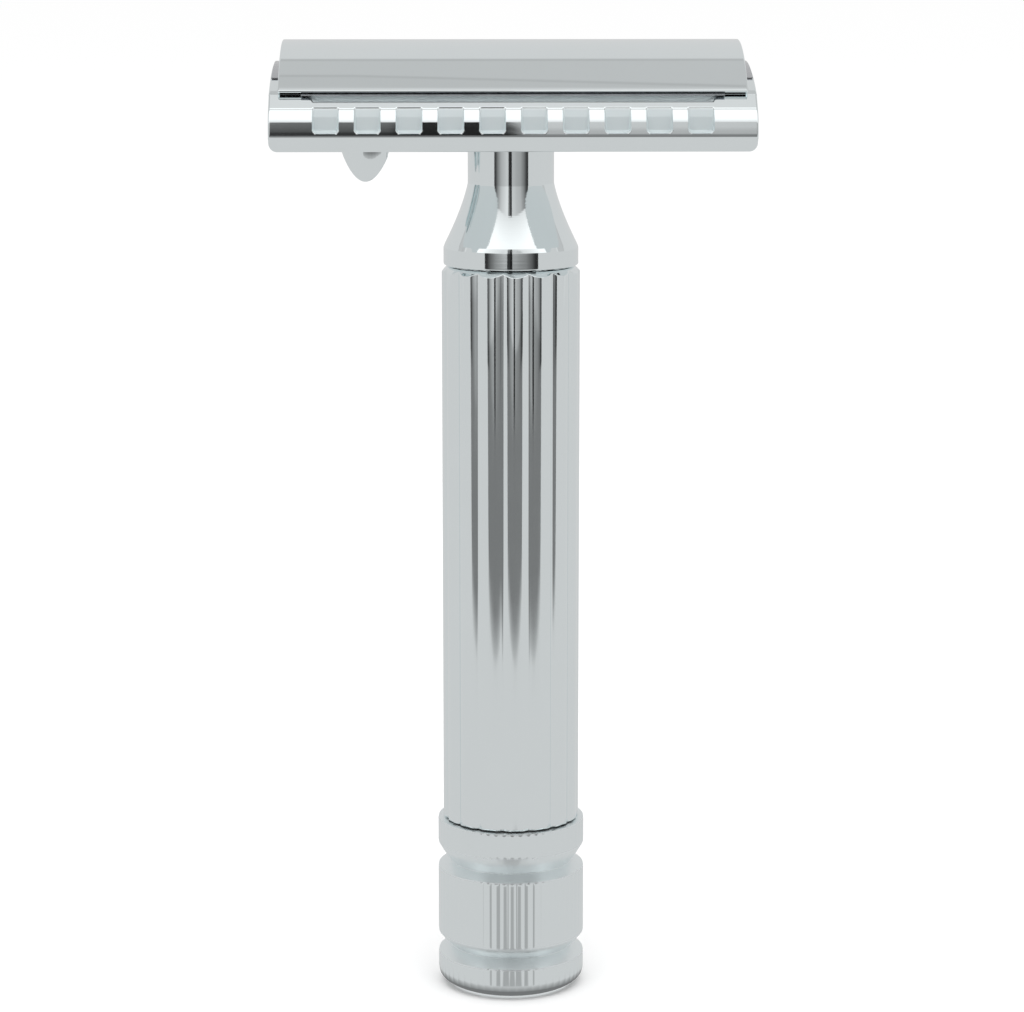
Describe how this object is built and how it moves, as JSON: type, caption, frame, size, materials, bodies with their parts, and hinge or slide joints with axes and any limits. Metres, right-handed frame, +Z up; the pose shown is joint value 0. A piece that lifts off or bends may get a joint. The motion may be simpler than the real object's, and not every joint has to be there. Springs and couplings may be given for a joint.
{
  "type": "safety razor",
  "caption": "Two-piece double-edge safety razor: arched cap, scalloped guard plate, flared neck, reeded barrel and a fluted knob that clamps the blade.",
  "frame": {"origin": "centre of the knob's flat foot, which is the middle of the razor's lowest face", "axes": "+Z up along the handle to the cap's crest, X along the blade, -Y and +Y towards the two guards"},
  "size_m": [0.043, 0.0248, 0.0892],
  "materials": {
    "chrome": "polished",
    "steel": "fine ground",
    "brass": "machined",
    "rubber": "matte"
  },
  "bodies": {
    "handle": {"base_plate": "chrome", "neck": "chrome", "barrel": "chrome", "upper_bush": "brass", "lower_bush": "brass", "thrust_washer": "steel"},
    "drive": {"knob": "chrome", "drive_rod": "steel", "threaded_socket": "brass", "socket_pin": "steel", "spring_washer": "steel", "retaining_clip": "steel", "seal_ring": "rubber"},
    "cap_assembly": {"cap": "chrome", "cap_stud": "steel"},
    "blade_body": {"blade": "steel"}
  },
  "joints": [
    {"name": "knob_turn", "type": "hinge", "parent": "handle", "child": "drive", "pos_m": [0, 0, 0.0081], "axis": [0, 0, -1], "range_deg": [0, 5760]},
    {"name": "cap_lift", "type": "slide", "parent": "handle", "child": "cap_assembly", "axis": [0, 0, 1], "range_m": [0, 0.0112]},
    {"name": "blade_lift", "type": "slide", "parent": "handle", "child": "blade_body", "axis": [0, 0, 1], "range_m": [0, 0.0056]}
  ],
  "couplings": [
    {"joint": "knob_turn", "follows": "cap_lift", "rad_per_m": 8976},
    {"joint": "blade_lift", "follows": "cap_lift", "ratio": 0.5}
  ]
}
